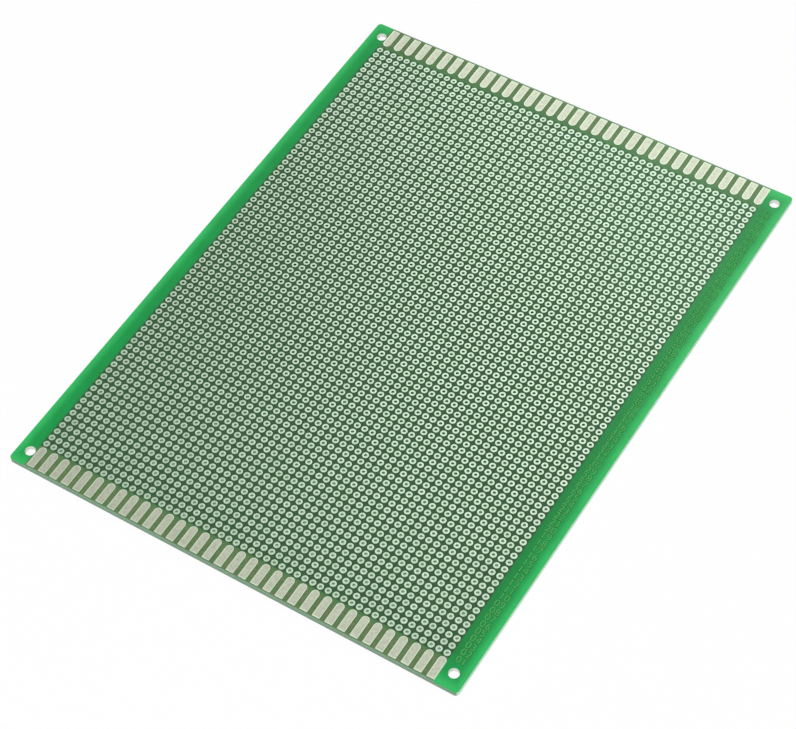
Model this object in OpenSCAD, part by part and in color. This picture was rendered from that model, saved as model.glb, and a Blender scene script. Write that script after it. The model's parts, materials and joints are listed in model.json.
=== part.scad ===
// Double-sided prototype board: a glass-epoxy plate with a field of plated
// holes on a 2.54 mm grid, a row of contact fingers on both faces of each
// short end, and four mounting holes.
//
// The board lies flat. X runs across it, Y along it, Z up. The origin is
// under the middle of the board, on the surface that it lies on. The near
// end is the one at -Y.

/* [Board] */
// Width of the board
board_w = 150; // [120:1:200]
// Length of the board
board_l = 200; // [120:1:260]
// Thickness of the plate with its solder mask
board_t = 1.6; // [0.8:0.1:3.2]
// Radius of the plate's corners
corner_r = 1.2; // [0.4:0.1:2]
// How far every second row of the plate's faces stands proud, as the glass cloth shows through
cloth_relief = 0.002; // [0.001:0.001:0.01]

/* [Plated holes] */
// Distance from one plated hole to the next, both ways
pitch = 2.54; // [2.4:0.01:5.08]
// Diameter of a pad
pad_d = 2.05; // [1.6:0.01:2.2]
// Bore of a plated hole
bore_d = 0.95; // [0.6:0.01:1.2]
// How far pads and fingers stand above the plate's faces
metal_rise = 0.05; // [0.02:0.01:0.1]
// Bare strip between the left edge and the pads
strip_left = 5.575; // [4:0.005:12]
// Least bare strip between the pads and the right edge, where the row numbers are
strip_right = 7.5; // [6:0.1:12]

/* [Contact fingers] */
// Width of a finger
finger_w = 2.54; // [1.5:0.01:3.2]
// Length of a finger, with its round end
finger_l = 7.4; // [4:0.1:12]
// Distance from one finger to the next
finger_pitch = 4.064; // [3.5:0.001:6]
// Gap between the plate's end and the fingers' straight ends
finger_edge = 0.6; // [0.2:0.1:3]
// Gap between the fingers' round ends and the nearest row of pads
finger_gap = 0.375; // [0.2:0.005:2]

/* [Mounting holes] */
// Diameter of a mounting hole
mount_d = 3.2; // [2:0.1:4]
// Distance from a long edge to the middle of a mounting hole
mount_side = 4; // [3:0.1:5]
// Distance from a short end to the middle of a mounting hole
mount_end = 5; // [3:0.1:6]
// Least gap between a mounting hole and the fingers beside it
mount_gap = 0.15; // [0.1:0.05:1]

/* [Hidden] */
round_fn = 32;     // steps of a round edge on screen
blocks = 6;        // nodes that share the rows of plated holes

// Columns of plated holes: as many as fit between the two bare strips.
first_col_x = -board_w/2 + strip_left + pad_d/2;
field_w = board_w - strip_left - strip_right - pad_d;
cols = 1 + floor(field_w/pitch);
last_col_x = first_col_x + (cols - 1)*pitch;

// Rows: as many as fit between the finger tips of the two ends.
tip_y = board_l/2 - finger_edge - finger_l;
first_row_y = -tip_y + finger_gap + pad_d/2;
rows = 1 + floor(2*abs(first_row_y)/pitch);
field_near_y = first_row_y - pitch/2;
field_far_y = first_row_y + (rows - 0.5)*pitch;

// Fingers: one in line with the last column, and more up to the left mounting hole.
mount_x = board_w/2 - mount_side;
mount_y = board_l/2 - mount_end;
finger_room = last_col_x + mount_x - mount_d/2 - mount_gap - finger_w/2;
fingers = 1 + floor(finger_room/finger_pitch);

plate_z = metal_rise;
plate_top = plate_z + board_t;

board_green = [0.13, 0.55, 0.27];
tin = [0.80, 0.80, 0.76];

// ---- plate -------------------------------------------------------------

module mount_holes_2d() {
    for (x = [-mount_x, mount_x], y = [-mount_y, mount_y])
        translate([x, y])
            circle(d = mount_d, $fn = round_fn);
}

// The plate round one row of plated holes, with a seat for each.
module row_2d(y) {
    difference() {
        translate([-board_w/2, y - pitch/2])
            square([board_w, pitch]);
        for (c = [0 : cols - 1])
            translate([first_col_x + c*pitch, y])
                circle(d = pad_d, $fn = round_fn);
        mount_holes_2d();
    }
}

// The plate at one end, from the field of holes to the edge: its corners are round.
module end_2d(end, field_y) {
    corner_x = board_w/2 - corner_r;
    corner_y = end*(board_l/2 - corner_r);
    difference() {
        union() {
            translate([-board_w/2, min(field_y, corner_y)])
                square([board_w, abs(corner_y - field_y)]);
            translate([-corner_x, min(corner_y, corner_y + end*corner_r)])
                square([2*corner_x, corner_r]);
            for (x = [-corner_x, corner_x])
                translate([x, corner_y])
                    circle(r = corner_r, $fn = round_fn);
        }
        mount_holes_2d();
    }
}

// The plate in bands across it: one for each end, at 0 and at rows + 1, and
// one for each row of plated holes between them.
module band_2d(band) {
    if (band == 0)
        end_2d(-1, field_near_y);
    else if (band > rows)
        end_2d(1, field_far_y);
    else
        row_2d(first_row_y + (band - 1)*pitch);
}

// The cloth's weave lifts every second row of holes. The ends stay level, so the
// fingers lie flat on them.
function band_rise(band) = band % 2 == 0 && band > 0 && band <= rows ? cloth_relief : 0;

module laminate() {
    color(board_green)
        for (band = [0 : rows + 1])
            translate([0, 0, plate_z - band_rise(band)])
                linear_extrude(board_t + 2*band_rise(band))
                    band_2d(band);
}

// ---- plated holes ------------------------------------------------------

// One plated hole: a tinned sleeve whose two ends are the pads.
module plated_hole() {
    linear_extrude(board_t + 2*metal_rise)
        difference() {
            circle(d = pad_d, $fn = round_fn);
            circle(d = bore_d, $fn = round_fn);
        }
}

// The rows of plated holes that lie before a block's end, counted from the near end.
function rows_before(block) = floor(block*rows/blocks);

module plated_holes(block) {
    color(tin)
        for (r = [rows_before(block - 1) : rows_before(block) - 1], c = [0 : cols - 1])
            translate([first_col_x + c*pitch, first_row_y + r*pitch, 0])
                plated_hole();
}

// ---- contact fingers ---------------------------------------------------

// A finger from its straight end, at the origin, to its round end at +Y.
module finger() {
    linear_extrude(metal_rise) {
        translate([-finger_w/2, 0])
            square([finger_w, finger_l - finger_w/2]);
        translate([0, finger_l - finger_w/2])
            circle(d = finger_w, $fn = round_fn);
    }
}

// The row of fingers at one end: -1 is the near end and 1 the far one.
module finger_row(end, z) {
    color(tin)
        for (f = [0 : fingers - 1])
            translate([last_col_x - f*finger_pitch, end*(board_l/2 - finger_edge), z])
                rotate(end < 0 ? 0 : 180)
                    finger();
}

module fingers_near_top() finger_row(-1, plate_top);
module fingers_near_bottom() finger_row(-1, 0);
module fingers_far_top() finger_row(1, plate_top);
module fingers_far_bottom() finger_row(1, 0);

laminate();
plated_holes(1);  // plated_holes_1
plated_holes(2);  // plated_holes_2
plated_holes(3);  // plated_holes_3
plated_holes(4);  // plated_holes_4
plated_holes(5);  // plated_holes_5
plated_holes(6);  // plated_holes_6
fingers_near_top();
fingers_near_bottom();
fingers_far_top();
fingers_far_bottom();
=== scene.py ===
"""Dresses the prototype board: green mask, tinned copper, cut edges and row numbers, in a white studio."""

import json
import math

import bpy
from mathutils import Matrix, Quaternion, Vector
from mathutils.geometry import delaunay_2d_cdt


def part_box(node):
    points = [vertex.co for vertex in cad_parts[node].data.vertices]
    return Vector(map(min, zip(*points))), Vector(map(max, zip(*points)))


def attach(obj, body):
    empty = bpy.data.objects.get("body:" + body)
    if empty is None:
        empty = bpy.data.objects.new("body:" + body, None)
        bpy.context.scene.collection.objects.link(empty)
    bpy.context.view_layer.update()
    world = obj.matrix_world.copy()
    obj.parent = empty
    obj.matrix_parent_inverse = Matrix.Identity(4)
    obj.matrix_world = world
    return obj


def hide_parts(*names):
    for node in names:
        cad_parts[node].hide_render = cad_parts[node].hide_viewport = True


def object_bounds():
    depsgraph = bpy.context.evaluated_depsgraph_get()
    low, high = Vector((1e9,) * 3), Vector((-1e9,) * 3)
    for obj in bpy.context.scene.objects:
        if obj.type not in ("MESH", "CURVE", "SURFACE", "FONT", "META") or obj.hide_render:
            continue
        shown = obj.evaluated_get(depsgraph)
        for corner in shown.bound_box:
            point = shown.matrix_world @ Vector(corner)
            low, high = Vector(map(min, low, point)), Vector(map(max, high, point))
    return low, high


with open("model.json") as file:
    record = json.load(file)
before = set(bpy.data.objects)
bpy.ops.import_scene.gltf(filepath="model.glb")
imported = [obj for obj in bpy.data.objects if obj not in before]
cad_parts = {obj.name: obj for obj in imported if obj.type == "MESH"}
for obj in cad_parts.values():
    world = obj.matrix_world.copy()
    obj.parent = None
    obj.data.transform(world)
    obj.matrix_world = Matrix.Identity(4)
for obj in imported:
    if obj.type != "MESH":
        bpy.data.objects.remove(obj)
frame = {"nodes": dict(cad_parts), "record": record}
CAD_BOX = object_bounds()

MM = 1000.0  # objects and the frame's boxes are in metres, patterns and other sizes in millimetres
MOUNTS = {mount["name"]: mount for mount in frame["record"]["mounts"]}

# The grid of plated holes. Its first hole is the near left one.
GRID = MOUNTS["plated_hole_grid"]
PITCH = 2.54
SPAN_X = GRID["dims"]["spacing_x_mm"]
SPAN_Y = GRID["dims"]["spacing_y_mm"]
GRID_X = GRID["pos_m"][0] * MM
GRID_Y = GRID["pos_m"][1] * MM
COLUMNS = round(SPAN_X / PITCH) + 1
ROWS = round(SPAN_Y / PITCH) + 1
FIRST_X = GRID_X - SPAN_X / 2
FIRST_Y = GRID_Y - SPAN_Y / 2
BORE_R = GRID["dims"]["hole_r_mm"]
PAD_LOW, PAD_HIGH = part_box("plated_holes_1")
PAD_R = (PAD_HIGH.x - PAD_LOW.x) * MM / 2 - SPAN_X / 2
PAD_TOP = PAD_HIGH.z * MM
LOOKS = 9  # columns, and rows, before the holes' looks come again
SLEEVE_SIDES = 20

# The plate. Its sides lie BOARD_X and BOARD_Y from the middle.
PLATE_LOW, PLATE_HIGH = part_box("laminate")
BOARD_X = PLATE_HIGH.x * MM
BOARD_Y = PLATE_HIGH.y * MM
CORNER_R = 1.2
SEAT_SIDES = 8
SEAT_R = PAD_R - 0.02  # so that the sleeves cover the seats
DRILLED = MOUNTS["mounting_holes"]["dims"]
ROUND_SIDES = 32  # of a mounting hole, and of the circle whose quarters round the corners

# The contact fingers. FINGER_IN and FINGER_OUT are how far their two ends lie from the middle.
FINGER_LOW, FINGER_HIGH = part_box("fingers_near_top")
FINGERS = 34
FINGER_W = 2.54
FINGER_X = FINGER_LOW.x * MM + FINGER_W / 2
FINGER_PITCH = (FINGER_HIGH.x * MM - FINGER_W / 2 - FINGER_X) / (FINGERS - 1)
FINGER_IN = -FINGER_HIGH.y * MM
FINGER_OUT = -FINGER_LOW.y * MM

NUMBER_SIZE = 3.3
NUMBER_DROP = 0.35  # from a figure's middle to its foot, as a share of NUMBER_SIZE
NUMBER_LEFT = 0.55  # from the middle of the bare strip to the middle of the numbers

# The plate's place in the bake, whose sides are 1: both faces in one sheet, and the walls in
# narrow columns at its right, one for each quarter of the outline and one for all the holes. That one
# has the mounting holes one above the other, and over them the seats, which share one place.
MAP_RIM = 0.005
SHEET_WIDE = 0.92
SHEET_HIGH = 0.99
WALLS_FROM = 0.932
WALL_STEP = 0.0115
WALL_WIDE = 0.0095
HOLES_COLUMN = 4
DRILLED_STEP = 0.22
DRILLED_HIGH = 0.2
SEAT_WALLS = (0.9, 0.98)

# A sleeve's place in the bake is a disc, where its two flat faces share a ring. These are the radii
# in it of the bore's lower end, the bore's mouth, the pad's rim and the outer wall's lower end.
MAP_BORE_END = 0.006
MAP_BORE = 0.0215
MAP_PAD = 0.0465
MAP_WALL_END = 0.0525

# The photographer's place, and what the camera looks at, in metres
CAMERA_AT = (0.24104, -0.35901, 0.56241)
LOOKS_AT = (0.00388, -0.01538, 0.0017)
ROLL = -3.405  # degrees
LENS = 107.97


class Tree:
    """One node tree, with short calls for the nodes that the materials are made of."""

    def __init__(self, owner):
        owner.use_nodes = True
        self.owner = owner
        self.nodes = owner.node_tree.nodes
        self.links = owner.node_tree.links
        self.nodes.clear()

    def add(self, kind, **settings):
        """A new node of a kind, with its settings."""
        node = self.nodes.new("ShaderNode" + kind)
        for key, value in settings.items():
            setattr(node, key, value)
        return node

    def feed(self, socket, value):
        """Leads another node's output into a socket, or sets the socket to a plain value."""
        if isinstance(value, bpy.types.NodeSocket):
            self.links.new(value, socket)
        else:
            socket.default_value = value

    def math(self, operation, *values, clamp=False):
        """One step of arithmetic."""
        node = self.add("Math", operation=operation, use_clamp=clamp)
        for socket, value in zip(node.inputs, values):
            self.feed(socket, value)
        return node.outputs[0]

    def ramp(self, value, start, end, low=0.0, high=1.0):
        """Goes smoothly from low to high as value goes from start to end."""
        node = self.add("MapRange", interpolation_type="SMOOTHSTEP")
        for socket, given in zip(node.inputs, (value, start, end, low, high)):
            self.feed(socket, given)
        return node.outputs[0]

    def mix(self, share, first, second, blend="MIX"):
        """Two colours as one. share is how much the second counts."""
        node = self.add("Mix", data_type="RGBA", blend_type=blend)
        self.feed(node.inputs[0], share)
        self.feed(node.inputs[6], first)
        self.feed(node.inputs[7], second)
        return node.outputs[2]

    def axes(self):
        """The object's own coordinates, in millimetres, as a vector and as x, y and z."""
        place = self.add("TexCoord").outputs["Object"]
        scaled = self.add("VectorMath", operation="SCALE")
        self.feed(scaled.inputs[0], place)
        self.feed(scaled.inputs["Scale"], MM)
        parts = self.add("SeparateXYZ")
        self.feed(parts.inputs[0], scaled.outputs[0])
        return scaled.outputs[0], *parts.outputs

    def vector(self, x, y, z):
        """Three numbers as one vector."""
        node = self.add("CombineXYZ")
        for socket, value in zip(node.inputs, (x, y, z)):
            self.feed(socket, value)
        return node.outputs[0]

    def noise(self, vector, scale, detail=2.0, rough=0.5):
        """A cloudy pattern from 0 to 1, with about scale clouds to each unit of the vector."""
        node = self.add("TexNoise")
        self.feed(node.inputs["Vector"], vector)
        self.feed(node.inputs["Scale"], scale)
        self.feed(node.inputs["Detail"], detail)
        self.feed(node.inputs["Roughness"], rough)
        return node.outputs[0]

    def upright(self):
        """How far a face looks up or down: 1 on the two flat sides, 0 on the cut edges."""
        parts = self.add("SeparateXYZ")
        self.feed(parts.inputs[0], self.add("NewGeometry").outputs["True Normal"])
        return self.math("ABSOLUTE", parts.outputs[2])

    def inside(self, value, low, high, soft):
        """1 between low and high, with a soft step at both ends."""
        enter = self.ramp(value, low - soft, low + soft)
        leave = self.ramp(value, high - soft, high + soft, 1.0, 0.0)
        return self.math("MULTIPLY", enter, leave)

    def bump(self, height, depth, normal=None, strength=1.0):
        """A normal, tilted as if height stood out of the surface. depth is in metres."""
        node = self.add("Bump")
        self.feed(node.inputs["Strength"], strength)
        self.feed(node.inputs["Distance"], depth)
        self.feed(node.inputs["Height"], height)
        if normal is not None:
            self.feed(node.inputs["Normal"], normal)
        return node.outputs[0]

    def surface(self, **sockets):
        """Gives the material its shader, with these inputs."""
        shader = self.add("BsdfPrincipled")
        for key, value in sockets.items():
            self.feed(shader.inputs[key.replace("_", " ")], value)
        self.feed(self.add("OutputMaterial").inputs["Surface"], shader.outputs[0])


def colour(red, green, blue):
    """A display colour of 0 to 255 as the linear one that a shader takes."""
    linear = []
    for part in (red, green, blue):
        part = part / 255
        linear.append(part / 12.92 if part <= 0.04045 else ((part + 0.055) / 1.055) ** 2.4)
    return (*linear, 1.0)


def own_hole(tree, x, y):
    """Where a point lies from the middle of its own hole, in millimetres, and that hole's column and row."""
    places = []
    counts = []
    for value, first in ((x, FIRST_X), (y, FIRST_Y)):
        steps = tree.math("DIVIDE", tree.math("SUBTRACT", value, first), PITCH)
        near = tree.math("ROUND", steps)
        places.append(tree.math("MULTIPLY", tree.math("SUBTRACT", steps, near), PITCH))
        counts.append(near)
    return *places, *counts


def from_centre(tree, x, y):
    """How far a point lies from the middle of its own hole, in millimetres."""
    aside, along = own_hole(tree, x, y)[:2]
    square = tree.math("MULTIPLY", aside, aside)
    total = tree.math("MULTIPLY_ADD", along, along, square)
    return tree.math("SQRT", total)


def hole_number(tree, x, y):
    """A number from 0 to 1 for each hole. LOOKS by LOOKS holes differ, and then the numbers come again."""
    counts = own_hole(tree, x, y)[2:]
    turns = [tree.math("MODULO", count, LOOKS) for count in counts]
    node = tree.add("TexWhiteNoise", noise_dimensions="3D")
    tree.feed(node.inputs["Vector"], tree.vector(*turns, 0.0))
    return node.outputs[0]


def cloth(tree, x, y):
    """The woven glass under the mask: a height from 0 to 1 that goes over and under."""
    weave = 0.9
    waves = []
    for value in (x, y):
        turns = tree.math("MULTIPLY", value, 2 * math.pi / weave)
        waves.append(tree.math("SINE", turns))
    woven = tree.math("MULTIPLY", waves[0], waves[1])
    return tree.math("MULTIPLY_ADD", woven, 0.5, 0.5)


def from_finger(tree, x, y):
    """How far a point lies outside the outline of the nearest contact finger, in millimetres."""
    steps = tree.math("DIVIDE", tree.math("SUBTRACT", x, FINGER_X), FINGER_PITCH)
    aside = tree.math("SUBTRACT", steps, tree.math("ROUND", steps))
    aside = tree.math("MULTIPLY", aside, FINGER_PITCH)
    away = tree.math("ABSOLUTE", y)
    short = tree.math("MAXIMUM", tree.math("SUBTRACT", FINGER_IN + FINGER_W / 2, away), 0.0)
    square = tree.math("MULTIPLY", aside, aside)
    total = tree.math("MULTIPLY_ADD", short, short, square)
    outside = tree.math("SUBTRACT", tree.math("SQRT", total), FINGER_W / 2)
    return tree.math("MAXIMUM", outside, tree.math("SUBTRACT", away, FINGER_OUT))


def from_sides(tree, x, y):
    """How far a point lies from the nearer long side and from the nearer end of the board."""
    side = tree.math("SUBTRACT", BOARD_X, tree.math("ABSOLUTE", x))
    end = tree.math("SUBTRACT", BOARD_Y, tree.math("ABSOLUTE", y))
    return side, end


def margin_tone(tree, x, y):
    """The bare green strips, in painted light: lighter where the rim lets light through, darker towards the
    holes.
    """
    side, end = from_sides(tree, x, y)
    rim = tree.math("SMOOTH_MIN", side, tree.math("MULTIPLY", end, 0.65), 1.0)
    deep = tree.ramp(rim, 3.5, 7.2)
    tone = tree.mix(deep, colour(4, 149, 68), colour(12, 130, 58))
    # painted light: the pale green at the rim stands for light shining through the cut edge
    return tree.mix(tree.ramp(rim, 0.2, 3.2), colour(44, 184, 95), tone)


def end_tone(tree, x, y):
    """The strips with the fingers: green by the holes, olive between the fingers, dark round each one, paler
    at the end with painted light.
    """
    away = tree.math("ABSOLUTE", y)
    olive = tree.ramp(away, FINGER_IN - 0.2, FINGER_IN + 1.6)
    speck = tree.noise(tree.vector(x, y, 0.0), 0.9, 2.0)
    gap = tree.mix(tree.ramp(speck, 0.35, 0.65), colour(78, 122, 66), colour(108, 119, 82))
    tone = tree.mix(olive, colour(72, 118, 68), gap)
    line = tree.ramp(from_finger(tree, x, y), 0.02, 0.3, 0.55, 0.0)
    tone = tree.mix(line, tone, colour(44, 62, 36))
    # painted light: paler towards the cut end, for light shining through the edge
    return tree.mix(tree.ramp(away, FINGER_OUT, BOARD_Y, 0.0, 0.8), tone, colour(136, 178, 150))


def field_tone(tree, x, y):
    """The mask between the pads: dark green, partly painted shade, and darker still in the thin clearance
    round each pad.
    """
    outline = tree.ramp(from_centre(tree, x, y), PAD_R + 0.02, PAD_R + 0.2)
    # the dark green is partly painted shade: less light shines through the plate here than through the bare
    # strips
    return tree.mix(outline, colour(16, 42, 22), colour(46, 84, 50))


def cut_tone(tree, x, y, z):
    """The cut edges of the glass-epoxy, with its cloth as fine lines: darker on the two ends with painted
    shade, paler on the long sides with painted light, and nearly white in the mounting holes, partly with
    painted light."""
    along = tree.vector(tree.math("MULTIPLY", x, 0.25), tree.math("MULTIPLY", y, 0.25), z)
    layers = tree.noise(along, 7.0, 4.0, 0.65)
    side, end = from_sides(tree, x, y)
    # painted shade makes the two ends darker and painted light makes the long sides paler, as if lit from
    # the side
    shaded_ends = tree.mix(layers, colour(104, 136, 114), colour(150, 176, 152))
    lit_sides = tree.mix(layers, colour(178, 226, 194), colour(216, 248, 224))
    outer = tree.mix(tree.ramp(tree.math("SUBTRACT", side, end), -0.3, 0.3), lit_sides, shaded_ends)
    # nearly white: partly the pale fractured glass fibre of a drilled wall, partly painted light scattered
    # through the laminate
    drilled = tree.mix(layers, colour(226, 233, 226), colour(240, 244, 238))
    return tree.mix(tree.ramp(tree.math("MINIMUM", side, end), 1.4, 1.8), outer, drilled)


def mask_tone(tree, x, y):
    """The mask over the field of holes, the strips with the fingers and the bare strips beside them."""
    reach_x = SPAN_X / 2 + PITCH / 2
    reach_y = SPAN_Y / 2 + PITCH / 2
    across = tree.inside(x, GRID_X - reach_x, GRID_X + reach_x, 0.12)
    along = tree.inside(y, GRID_Y - reach_y + 0.1, GRID_Y + reach_y - 0.1, 0.15)
    inner = tree.mix(along, end_tone(tree, x, y), field_tone(tree, x, y))
    return tree.mix(across, margin_tone(tree, x, y), inner)


def solder_mask():
    """Green mask on the flat sides, lighter towards the far right corner with a painted sheen, and
    glass-epoxy on the cut edges."""
    tree = Tree(bpy.data.materials.new("solder_mask"))
    place, x, y, z = tree.axes()
    # painted sheen: the mask turns lighter towards the far right corner, where a soft reflection falls
    painted_sheen = tree.ramp(tree.math("ADD", x, y), 20.0, 135.0)
    sheen_added = (0.022, 0.05, 0.026, 1.0)
    tone = tree.mix(painted_sheen, mask_tone(tree, x, y), sheen_added, "ADD")
    cloudy = tree.noise(place, 0.16, 3.0)
    grain = tree.noise(place, 2.6, 2.0)
    shade = tree.ramp(cloudy, 0.25, 0.75, 0.93, 1.06)
    shade = tree.math("MULTIPLY", shade, tree.ramp(grain, 0.2, 0.8, 0.94, 1.06))
    tone = tree.mix(1.0, tone, tree.vector(shade, shade, shade), "MULTIPLY")
    flat = tree.ramp(tree.upright(), 0.4, 0.6)
    skin = tree.mix(flat, cut_tone(tree, x, y, z), tone)
    rough = tree.ramp(flat, 0.0, 1.0, 0.75, 0.34)
    rough = tree.math("MULTIPLY_ADD", grain, 0.08, rough)
    woven = tree.bump(cloth(tree, x, y), 0.000004, strength=0.5)
    normal = tree.bump(tree.noise(place, 5.0, 3.0), 0.000006, woven, 0.6)
    tree.surface(Base_Color=skin, Roughness=rough, Specular_IOR_Level=0.27, Normal=normal)
    return tree.owner


def bore_shade(tree, y, z):
    """How dark a bore's wall is: darkest a little below its mouth, and midway between the board's ends."""
    wall = tree.ramp(tree.upright(), 0.5, 0.9, 1.0, 0.0)
    shade = tree.ramp(tree.math("ABSOLUTE", y), 15.0, 85.0, 0.95, 0.5)
    shade = tree.math("MULTIPLY", shade, tree.ramp(z, PAD_TOP - 0.3, PAD_TOP, 1.0, 0.3))
    shade = tree.math("MULTIPLY", shade, tree.ramp(z, 0.35, 0.95, 0.05, 1.0))
    return tree.math("MULTIPLY", wall, shade)


def tinned_pads():
    """Hot-tinned rings, slightly domed between rim and bore, and the bores between them."""
    tree = Tree(bpy.data.materials.new("tinned_pads"))
    x, y, z = tree.axes()[1:]
    radius = from_centre(tree, x, y)
    middle = (BORE_R + PAD_R) / 2
    rise = tree.ramp(radius, BORE_R, middle)
    fall = tree.ramp(radius, middle, PAD_R, 1.0, 0.0)
    dome = tree.math("MULTIPLY", rise, fall)
    own = hole_number(tree, x, y)
    aside, along = own_hole(tree, x, y)[:2]
    deep = tree.math("ABSOLUTE", tree.math("SUBTRACT", z, PAD_TOP / 2))
    apart = 71.0
    spot = tree.vector(tree.math("MULTIPLY_ADD", own, apart, aside), along, deep)
    grain = tree.noise(spot, 3.2, 3.0)
    # the green cast in the tin's tones is partly painted reflection of the green mask round the pads
    tone = tree.mix(own, colour(194, 224, 194), colour(208, 236, 208))
    tone = tree.mix(tree.ramp(grain, 0.4, 0.8), tone, colour(184, 210, 182))
    edge = tree.ramp(radius, PAD_R - 0.1, PAD_R, 0.0, 0.5)
    tone = tree.mix(edge, tone, colour(88, 104, 84))
    tone = tree.mix(bore_shade(tree, y, z), tone, colour(44, 64, 46))
    rough = tree.math("MULTIPLY_ADD", grain, 0.12, 0.18)
    normal = tree.bump(dome, 0.00001)
    normal = tree.bump(grain, 0.00001, normal, 0.6)
    tree.surface(Base_Color=tone, Metallic=0.85, Roughness=rough, Normal=normal)
    return tree.owner


def tinned_fingers():
    """Hot-tinned contact fingers: warm grey, mottled, with fine wipe marks and a painted highlight on the
    rim's bead.
    """
    tree = Tree(bpy.data.materials.new("tinned_fingers"))
    place, x, y, z = tree.axes()
    cloudy = tree.noise(place, 1.1, 3.0)
    tone = tree.mix(tree.ramp(cloudy, 0.35, 0.7), colour(208, 215, 192), colour(192, 198, 177))
    stretched = tree.vector(tree.math("MULTIPLY", x, 4.0), tree.math("MULTIPLY", y, 0.35), z)
    wiped = tree.noise(stretched, 2.2, 3.0)
    tone = tree.mix(tree.ramp(wiped, 0.45, 0.8, 0.0, 0.4), tone, colour(172, 175, 158))
    bead_and_highlight = tree.ramp(from_finger(tree, x, y), -0.45, -0.2)
    # painted highlight: the solder bead at the rim, raised by the bump below, is lighter as light on its
    # rounded edge
    tone = tree.mix(bead_and_highlight, tone, colour(216, 232, 206))
    rough = tree.math("MULTIPLY_ADD", wiped, 0.14, 0.19)
    normal = tree.bump(wiped, 0.000008, strength=0.5)
    normal = tree.bump(cloudy, 0.00002, normal, 0.7)
    normal = tree.bump(bead_and_highlight, 0.00001, normal)
    tree.surface(Base_Color=tone, Metallic=0.8, Roughness=rough, Normal=normal)
    return tree.owner


def number_skin(name, first, second):
    """The mask over a figure or round it, as a worn mix of two tones."""
    tree = Tree(bpy.data.materials.new(name))
    place = tree.axes()[0]
    worn = tree.noise(place, 1.4, 3.0)
    tone = tree.mix(worn, first, second)
    rough = tree.math("MULTIPLY_ADD", worn, 0.1, 0.36)
    normal = tree.bump(worn, 0.000006, strength=0.5)
    tree.surface(Base_Color=tone, Roughness=rough, Specular_IOR_Level=0.27, Normal=normal)
    return tree.owner


def number_ink():
    """Row numbers left in the copper under the mask: a little lighter and yellower than the green around."""
    return number_skin("number_ink", colour(54, 162, 74), colour(76, 170, 88))


def number_outline():
    """The clearance round each figure, where the copper is gone and the mask looks darker."""
    return number_skin("number_outline", colour(14, 112, 44), colour(24, 122, 52))


def dress(node, material):
    """Gives a CAD node a material in every slot, and leaves its mesh as it is."""
    piece = frame["nodes"][node]
    for slot in piece.material_slots:
        slot.material = material


def stand(name, points, faces, places, material):
    """Puts a mesh with its own map for the bake into the scene. places has one place for each corner of
    each face."""
    mesh = bpy.data.meshes.new(name)
    mesh.from_pydata(points, [], faces)
    mesh.materials.append(material)
    layer = mesh.uv_layers.new(name="OFBake")
    layer.data.foreach_set("uv", [part for place in places for part in place])
    piece = bpy.data.objects.new(name, mesh)
    bpy.context.scene.collection.objects.link(piece)
    return piece


class Plate:
    """The plate's mesh as it grows: its points, its faces, and where the bake draws each face."""

    def __init__(self):
        self.found = {}
        self.points = []
        self.faces = []
        self.places = []

    def point(self, x, y, height):
        """The number of the point at this place, a new one only where there is none yet."""
        key = (round(x, 4), round(y, 4), height)
        if key not in self.found:
            self.found[key] = len(self.points)
            self.points.append((x / MM, y / MM, height))
        return self.found[key]

    def sheet(self, points, faces):
        """Lays the same faces into the upper and the lower side, which share their place in the bake."""
        places = []
        for x, y in points:
            left = MAP_RIM + SHEET_WIDE / 2 * (x / BOARD_X + 1)
            under = MAP_RIM + SHEET_HIGH / 2 * (y / BOARD_Y + 1)
            places.append((left, under))
        for height, way in ((PLATE_HIGH.z, 1), (PLATE_LOW.z, -1)):
            numbers = [self.point(x, y, height) for x, y in points]
            for face in faces:
                self.faces.append([numbers[corner] for corner in face[::way]])
                self.places += [places[corner] for corner in face[::way]]

    def wall(self, path, column, start, end):
        """Stands a wall along a path, with the solid on its right. The bake draws it in one column, from
        the height start to the height end."""
        left = WALLS_FROM + WALL_STEP * column
        right = left + WALL_WIDE
        lengths = [math.dist(here, after) for here, after in zip(path, path[1:])]
        step = (end - start) / sum(lengths)
        for here, after, length in zip(path, path[1:], lengths):
            low = [self.point(*place, PLATE_LOW.z) for place in (after, here)]
            high = [self.point(*place, PLATE_HIGH.z) for place in (here, after)]
            self.faces.append(low + high)
            ahead = start + step * length
            self.places += [(left, ahead), (left, start), (right, start), (right, ahead)]
            start = ahead


def turned(x, y, radius, count, first=0.0):
    """Points on a circle round x, y, turning left from the angle first."""
    angles = [first + 2 * math.pi * step / count for step in range(count)]
    return [(x + radius * math.cos(angle), y + radius * math.sin(angle)) for angle in angles]


def seats(plate):
    """A square of plate round each plated hole, with the seat that its sleeve fills."""
    half = PITCH / 2
    corners = [(half, half), (-half, half), (-half, -half), (half, -half)]
    ring = turned(0.0, 0.0, SEAT_R, SEAT_SIDES, math.pi / SEAT_SIDES)
    faces = []
    for side in range(4):
        after = (side + 1) % 4
        near = 4 + 2 * side
        far = 4 + (2 * side + 2) % SEAT_SIDES
        faces.append((side, near + 1, near))
        faces.append((side, after, near + 1))
        faces.append((after, far, near + 1))
    for row in range(ROWS):
        for column in range(COLUMNS):
            x = FIRST_X + column * PITCH
            y = FIRST_Y + row * PITCH
            cell = [(x + aside, y + along) for aside, along in corners + ring]
            plate.sheet(cell, faces)
            plate.wall(cell[4:] + cell[4:5], HOLES_COLUMN, *SEAT_WALLS)


def field_outline():
    """The corners of the squares round the field of holes, from the near left one on, turning left."""
    left = FIRST_X - PITCH / 2
    near = FIRST_Y - PITCH / 2
    right = left + COLUMNS * PITCH
    far = near + ROWS * PITCH
    outline = [(left + step * PITCH, near) for step in range(COLUMNS)]
    outline += [(right, near + step * PITCH) for step in range(ROWS)]
    outline += [(right - step * PITCH, far) for step in range(COLUMNS)]
    outline += [(left, far - step * PITCH) for step in range(ROWS)]
    return outline


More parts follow.
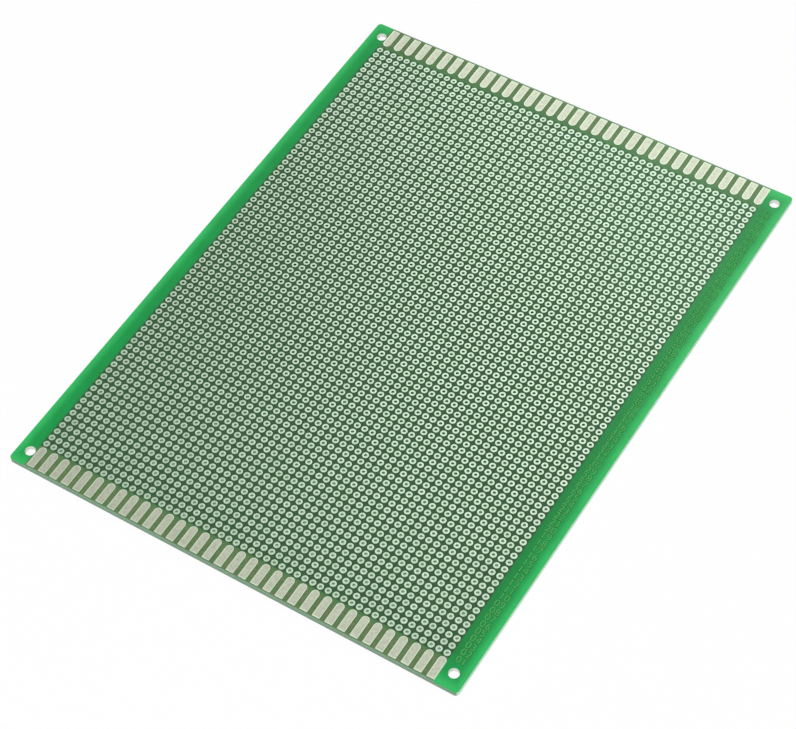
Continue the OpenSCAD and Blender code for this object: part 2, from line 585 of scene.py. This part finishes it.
def quarters():
    """The plate's round corners and the mounting holes, from the far right ones on, turning left."""
    edge = []
    drilled = []
    for quarter, (side, end) in enumerate(((1, 1), (-1, 1), (-1, -1), (1, -1))):
        x = side * (BOARD_X - CORNER_R)
        y = end * (BOARD_Y - CORNER_R)
        circle = turned(x, y, CORNER_R, ROUND_SIDES, quarter * math.pi / 2)
        edge.append(circle[:ROUND_SIDES // 4 + 1])
        x = side * DRILLED["spacing_x_mm"] / 2
        y = end * DRILLED["spacing_y_mm"] / 2
        drilled.append(turned(x, y, DRILLED["hole_r_mm"], ROUND_SIDES))
    return edge, drilled


def in_border(x, y, field):
    """Whether a point within the plate's outline is outside the mounting holes and the field."""
    middle = (DRILLED["spacing_x_mm"] / 2, DRILLED["spacing_y_mm"] / 2)
    in_hole = math.dist((abs(x), abs(y)), middle) < DRILLED["hole_r_mm"]
    left, near = field[0]
    right, far = field[COLUMNS + ROWS]
    return not in_hole and not (left < x < right and near < y < far)


def border(plate):
    """The plate round the field of holes, out to its edge, with the four mounting holes."""
    field = field_outline()
    edge, drilled = quarters()
    points = []
    lines = []
    for ring in (field, sum(edge, []), *drilled):
        first = len(points)
        points += ring
        lines += [(first + step, first + (step + 1) % len(ring)) for step in range(len(ring))]
    laid = delaunay_2d_cdt([Vector(place) for place in points], lines, [], 0, 1e-5)
    triangles = laid[2]
    given = [numbers[0] for numbers in laid[3]]
    faces = []
    for triangle in triangles:
        face = [given[corner] for corner in triangle]
        x = sum(points[corner][0] for corner in face) / 3
        y = sum(points[corner][1] for corner in face) / 3
        if in_border(x, y, field):
            faces.append(face)
    plate.sheet(points, faces)
    for quarter in range(4):
        path = edge[quarter] + edge[(quarter + 1) % 4][:1]
        plate.wall(path[::-1], quarter, MAP_RIM, 1 - MAP_RIM)
        ring = drilled[quarter]
        start = DRILLED_STEP * quarter
        plate.wall(ring + ring[:1], HOLES_COLUMN, start, start + DRILLED_HIGH)


def board_plate(material):
    """The plate in a few large faces, so that a bake gives its two sides nearly all of its picture."""
    plate = Plate()
    seats(plate)
    border(plate)
    piece = stand("board_plate", plate.points, plate.faces, plate.places, material)
    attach(piece, "root")
    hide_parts("laminate")


def sleeve(column, row, low, high, start):
    """One sleeve: its points, its faces, numbered from start on, and where the bake draws them."""
    rim = turned(0.0, 0.0, 1.0, SLEEVE_SIDES)
    profile = ((BORE_R, high), (PAD_R, high), (PAD_R, low), (BORE_R, low))
    upper = (MAP_BORE, MAP_PAD)
    outer_wall = (MAP_PAD, MAP_WALL_END)
    lower = (MAP_PAD, MAP_BORE)
    bore_wall = (MAP_BORE_END, MAP_BORE)
    x = FIRST_X + column * PITCH
    y = FIRST_Y + row * PITCH
    left = (column % LOOKS + 0.5) / LOOKS
    under = (row % LOOKS + 0.5) / LOOKS
    points = []
    for radius, height in profile:
        points += [((x + radius * aside) / MM, (y + radius * along) / MM, height) for aside, along in rim]
    faces = []
    places = []
    for band, (one, two) in enumerate((upper, outer_wall, lower, bore_wall)):
        inner = start + band * SLEEVE_SIDES
        outer = start + (band + 1) % 4 * SLEEVE_SIDES
        for here in range(SLEEVE_SIDES):
            after = (here + 1) % SLEEVE_SIDES
            faces.append((inner + here, outer + here, outer + after, inner + after))
            for reach, turn in ((one, here), (two, here), (two, after), (one, after)):
                places.append((left + reach * rim[turn][0], under + reach * rim[turn][1]))
    return points, faces, places


def sleeves(node, material):
    """The sleeves of one CAD node, as wide and as high as there. Sleeves LOOKS columns or rows apart
    share their place in the bake."""
    low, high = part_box(node)
    near = round((low.y * MM + PAD_R - FIRST_Y) / PITCH)
    far = round((high.y * MM - PAD_R - FIRST_Y) / PITCH)
    points = []
    faces = []
    places = []
    for row in range(near, far + 1):
        for column in range(COLUMNS):
            made = sleeve(column, row, low.z, high.z, len(points))
            for whole, part in zip((points, faces, places), made):
                whole.extend(part)
    piece = stand(node + "_sleeves", points, faces, places, material)
    round_walls = ([False] * SLEEVE_SIDES + [True] * SLEEVE_SIDES) * (len(faces) // SLEEVE_SIDES // 2)
    piece.data.polygons.foreach_set("use_smooth", round_walls)
    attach(piece, "root")
    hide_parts(node)


def row_numbers(name, material, height, wider):
    """One plain two-figure number beside each row of holes, in the strip at the board's right side. It
    stands out of the mask by height, and wider is how far its strokes spread."""
    data = bpy.data.curves.new(name, "FONT")
    data.body = "\n".join(f"{ROWS - row:02d}" for row in range(ROWS))
    data.size = NUMBER_SIZE / MM
    data.align_x = "CENTER"
    data.extrude = height / MM
    data.offset = wider / MM
    data.resolution_u = 3
    data.space_line = PITCH / MM / data.size
    data.materials.append(material)
    piece = bpy.data.objects.new(name, data)
    bpy.context.scene.collection.objects.link(piece)
    middle = (GRID_X + SPAN_X / 2 + PITCH / 2 + BOARD_X) / 2 - NUMBER_LEFT
    top = GRID_Y + SPAN_Y / 2
    piece.location = (middle / MM, top / MM - NUMBER_DROP * data.size, PLATE_HIGH.z)
    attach(piece, "root")


def paper():
    """White paper that keeps the board's shadow and looks white to the camera and in the metal."""
    tree = Tree(bpy.data.materials.new("paper"))
    place = tree.add("TexCoord").outputs["Object"]
    cloudy = tree.noise(place, 3.0)
    shade = tree.mix(cloudy, (0.9, 0.9, 0.9, 1.0), (0.93, 0.93, 0.93, 1.0))
    matt = tree.add("BsdfDiffuse")
    tree.feed(matt.inputs["Color"], shade)
    glow = tree.add("Emission")
    glow.inputs["Strength"].default_value = 1.0
    path = tree.add("LightPath")
    seen = tree.math("ADD", path.outputs["Is Camera Ray"], path.outputs["Is Glossy Ray"])
    seen = tree.math("ADD", seen, path.outputs["Is Transmission Ray"], clamp=True)
    blend = tree.add("MixShader")
    tree.feed(blend.inputs[0], tree.math("MULTIPLY", seen, 0.92))
    tree.feed(blend.inputs[1], matt.outputs[0])
    tree.feed(blend.inputs[2], glow.outputs[0])
    tree.feed(tree.add("OutputMaterial").inputs["Surface"], blend.outputs[0])
    return tree.owner


def floor(material):
    """A wide round floor that curves up into a low wall all round, like studio paper. It is in metres."""
    flat = 4.0
    bend = 1.0
    top = 2.6
    turns = 48
    rings = 4
    bends = 8
    profile = [(flat * step / rings, 0.0) for step in range(1, rings + 1)]
    for step in range(1, bends + 1):
        angle = math.pi / 2 / bends * step
        profile.append((flat + bend * math.sin(angle), bend - bend * math.cos(angle)))
    profile.append((flat + bend, top))
    points = [(0.0, 0.0, 0.0)]
    for reach, height in profile:
        for turn in range(turns):
            angle = 2 * math.pi * turn / turns
            points.append((reach * math.cos(angle), reach * math.sin(angle), height))
    faces = []
    for turn in range(turns):
        after = (turn + 1) % turns
        faces.append((0, 1 + turn, 1 + after))
        for ring in range(len(profile) - 1):
            inner = 1 + ring * turns
            outer = inner + turns
            faces.append((inner + turn, outer + turn, outer + after, inner + after))
    mesh = bpy.data.meshes.new("floor")
    mesh.from_pydata(points, [], faces)
    mesh.materials.append(material)
    for face in mesh.polygons:
        face.use_smooth = True
    piece = bpy.data.objects.new("floor", mesh)
    piece.location.z = CAD_BOX[0].z - 0.1 / MM
    bpy.context.scene.collection.objects.link(piece)


def softbox(name, azimuth, elevation, distance, side, level):
    """A square lamp aimed at the board. level is how bright its face is, where 1 is white."""
    data = bpy.data.lights.new(name, "AREA")
    data.shape = "SQUARE"
    data.size = side
    data.energy = level * math.pi * side * side
    lamp = bpy.data.objects.new(name, data)
    turn = math.radians(azimuth)
    tilt = math.radians(elevation)
    flat = math.cos(tilt)
    way = Vector((math.cos(turn) * flat, math.sin(turn) * flat, math.sin(tilt)))
    lamp.location = way * distance
    lamp.rotation_mode = "QUATERNION"
    lamp.rotation_quaternion = (-way).to_track_quat("-Z", "Y")
    lamp.visible_camera = False
    bpy.context.scene.collection.objects.link(lamp)


def studio():
    """Even light from all round, a soft lamp at the front, and one at the back that the metal mirrors."""
    world = bpy.data.worlds.new("studio")
    bpy.context.scene.world = world
    tree = Tree(world)
    sky = tree.add("Background")
    sky.inputs["Color"].default_value = (1.0, 1.0, 1.0, 1.0)
    sky.inputs["Strength"].default_value = 0.62
    tree.feed(tree.add("OutputWorld").inputs["Surface"], sky.outputs[0])
    softbox("front_lamp", azimuth=-75, elevation=58, distance=1.5, side=1.0, level=3.2)
    softbox("back_lamp", azimuth=102, elevation=48, distance=1.2, side=0.76, level=0.72)


def camera():
    """Stands where the photographer stood and looks at a point near the middle of the board."""
    data = bpy.data.cameras.new("camera")
    data.lens = LENS
    data.sensor_width = 36.0
    data.clip_start = 0.01
    data.clip_end = 20.0
    viewer = bpy.data.objects.new("camera", data)
    viewer.location = CAMERA_AT
    viewer.rotation_mode = "QUATERNION"
    way = Vector(LOOKS_AT) - Vector(CAMERA_AT)
    roll = Quaternion((0.0, 0.0, 1.0), math.radians(ROLL))
    viewer.rotation_quaternion = way.to_track_quat("-Z", "Y") @ roll
    bpy.context.scene.collection.objects.link(viewer)
    bpy.context.scene.camera = viewer


def finishes():
    """Dresses every CAD node, and puts lighter meshes in the place of the plate and the sleeves."""
    mask = solder_mask()
    pads = tinned_pads()
    fingers = tinned_fingers()
    dress("laminate", mask)
    board_plate(mask)
    for node in frame["nodes"]:
        if node.startswith("plated_holes"):
            dress(node, pads)
            sleeves(node, pads)
        if node.startswith("fingers"):
            dress(node, fingers)


def main():
    finishes()
    row_numbers("row_numbers", number_ink(), 0.01, 0.02)
    row_numbers("number_outlines", number_outline(), 0.005, 0.2)
    floor(paper())
    studio()
    camera()
    bpy.context.scene.view_settings.view_transform = "Standard"


main()
